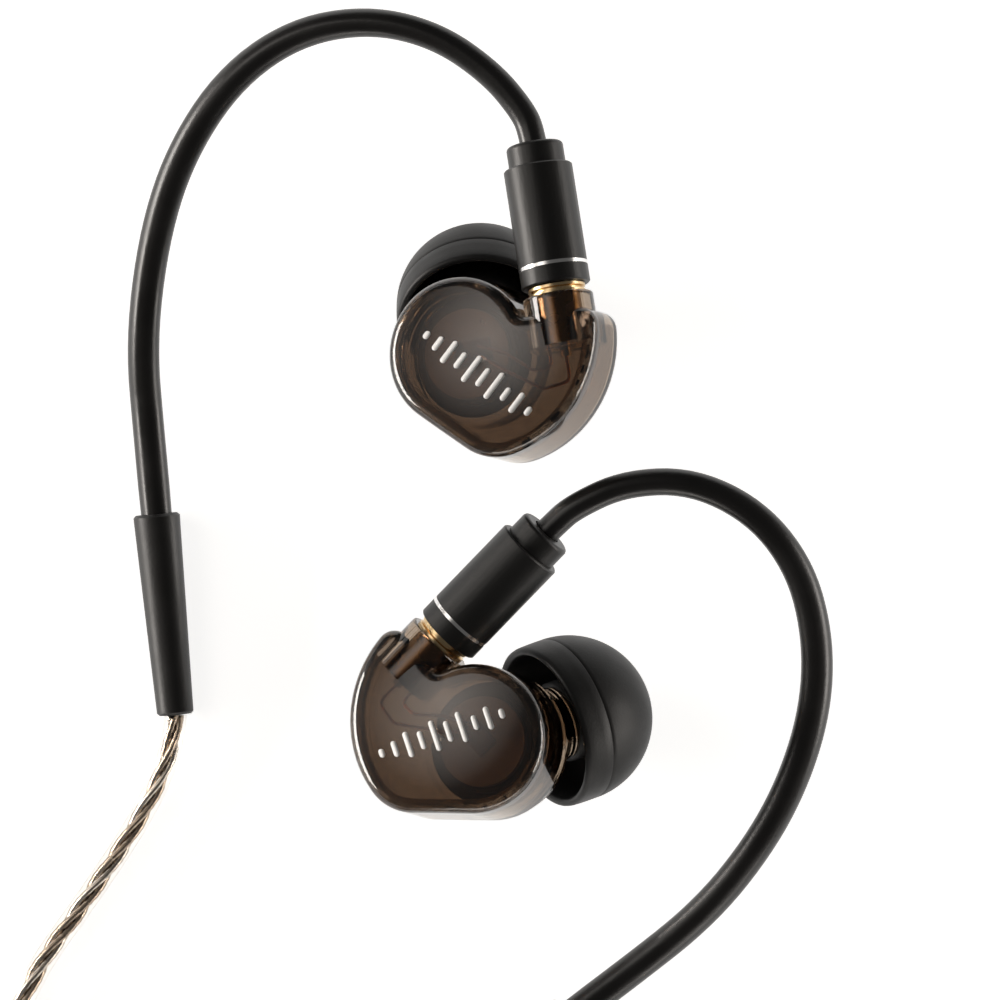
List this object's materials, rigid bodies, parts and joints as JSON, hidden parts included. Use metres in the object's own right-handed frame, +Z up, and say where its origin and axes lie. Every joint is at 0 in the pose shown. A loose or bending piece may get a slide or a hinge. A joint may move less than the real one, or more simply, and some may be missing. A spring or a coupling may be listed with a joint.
{
  "type": "in-ear monitors",
  "caption": "In-ear monitors with clear smoke shells, silicone tips, swivelling plug-in connectors, formed ear hooks and a clear twisted cord with chin slider, splitter and jack plug",
  "frame": {"origin": "on the table, under the middle of the two earpieces and ear hooks", "axes": "+Z up off the table, +Y from the put-away cord towards the right ear hook, +X towards the left ear hook's outer side"},
  "size_m": [0.0784, 0.1621, 0.0213],
  "materials": {
    "smoke_shell": "smoke-brown clear moulded plastic, polished",
    "nozzle_mesh": "fine perforated stainless disc",
    "silicone": "matte black silicone",
    "driver_metal": "zinc-plated steel cup",
    "driver_basket": "dark moulded basket",
    "diaphragm_film": "thin polymer film with a copper voice coil",
    "circuit_board": "small amber terminal board",
    "lead_wire": "enamelled copper wire",
    "gold_plate": "gold-plated brass",
    "insulator": "off-white insulator",
    "spring_steel": "plain spring steel",
    "black_barrel": "black satin anodised, fine lengthwise grain",
    "bright_ring": "polished ring",
    "hook_rubber": "satin black soft tube",
    "sleeve_rubber": "matte black heat-shrunk sleeve",
    "clear_jacket": "clear jacket over twisted bronze strands",
    "moulded_black": "black moulded plastic"
  },
  "bodies": {
    "cable": {"right_plug_body": "gold_plate", "right_plug_insulator": "insulator", "right_plug_pin": "gold_plate", "right_connector_barrel": "black_barrel", "right_barrel_ring": "bright_ring", "right_barrel_cap": "black_barrel", "right_ear_hook": "hook_rubber", "right_hook_lead": "clear_jacket", "right_hook_sleeve": "sleeve_rubber", "right_branch_cord": "clear_jacket", "left_plug_body": "gold_plate", "left_plug_insulator": "insulator", "left_plug_pin": "gold_plate", "left_connector_barrel": "black_barrel", "left_barrel_ring": "bright_ring", "left_barrel_cap": "black_barrel", "left_ear_hook": "hook_rubber", "left_hook_lead": "clear_jacket", "left_hook_sleeve": "sleeve_rubber", "left_branch_cord": "clear_jacket", "branch_coil": "clear_jacket", "cord_splitter": "moulded_black", "main_cord": "clear_jacket", "main_coil": "clear_jacket", "jack_strain_relief": "sleeve_rubber", "jack_housing": "black_barrel", "jack_sleeve_contact": "gold_plate", "jack_ring_contact": "gold_plate", "jack_insulators": "insulator", "jack_tip_contact": "gold_plate"},
    "chin_slider": {"chin_slider": "moulded_black"},
    "right_snap_ring": {"right_snap_ring": "spring_steel"},
    "right_earpiece": {"right_faceplate": "smoke_shell", "right_back_shell": "smoke_shell", "right_nozzle_mesh": "nozzle_mesh", "right_driver_magnet": "driver_metal", "right_driver_basket": "driver_basket", "right_terminal_board": "circuit_board", "right_driver_wires": "lead_wire", "right_socket_body": "gold_plate", "right_socket_insulator": "insulator", "right_socket_contact": "gold_plate"},
    "right_ear_tip": {"right_ear_tip": "silicone"},
    "right_diaphragm": {"right_diaphragm": "diaphragm_film"},
    "left_snap_ring": {"left_snap_ring": "spring_steel"},
    "left_earpiece": {"left_faceplate": "smoke_shell", "left_back_shell": "smoke_shell", "left_nozzle_mesh": "nozzle_mesh", "left_driver_magnet": "driver_metal", "left_driver_basket": "driver_basket", "left_terminal_board": "circuit_board", "left_driver_wires": "lead_wire", "left_socket_body": "gold_plate", "left_socket_insulator": "insulator", "left_socket_contact": "gold_plate"},
    "left_ear_tip": {"left_ear_tip": "silicone"},
    "left_diaphragm": {"left_diaphragm": "diaphragm_film"}
  },
  "joints": [
    {"name": "right_swivel", "type": "hinge", "parent": "cable", "child": "right_snap_ring", "pos_m": [0.00623, 0.02265, 0.01753], "axis": [-0.1509, 0.9747, -0.165], "continuous": true},
    {"name": "right_unplug", "type": "slide", "parent": "right_snap_ring", "child": "right_earpiece", "axis": [0.1509, -0.9747, 0.165], "range_m": [0, 0.0032]},
    {"name": "right_tip_pull", "type": "slide", "parent": "right_earpiece", "child": "right_ear_tip", "axis": [0.0012, 0.5818, -0.8133], "range_m": [0, 0.0065]},
    {"name": "right_voice_coil", "type": "slide", "parent": "right_earpiece", "child": "right_diaphragm", "axis": [-0.3857, 0.0957, 0.9177], "range_m": [-0.00015, 0.00015], "stiffness_N_per_m": 200},
    {"name": "left_swivel", "type": "hinge", "parent": "cable", "child": "left_snap_ring", "pos_m": [-0.00313, -0.00486, 0.01014], "axis": [0.6841, 0.7084, 0.1736], "continuous": true},
    {"name": "left_unplug", "type": "slide", "parent": "left_snap_ring", "child": "left_earpiece", "axis": [-0.6841, -0.7084, -0.1736], "range_m": [0, 0.0032]},
    {"name": "left_tip_pull", "type": "slide", "parent": "left_earpiece", "child": "left_ear_tip", "axis": [0.8393, 0.2917, -0.4588], "range_m": [0, 0.0065]},
    {"name": "left_voice_coil", "type": "slide", "parent": "left_earpiece", "child": "left_diaphragm", "axis": [-0.3594, 0.1202, 0.9254], "range_m": [-0.00015, 0.00015], "stiffness_N_per_m": 200},
    {"name": "slider_travel", "type": "slide", "parent": "cable", "child": "chin_slider", "axis": [1, 0, 0], "range_m": [0, 0.006]}
  ]
}
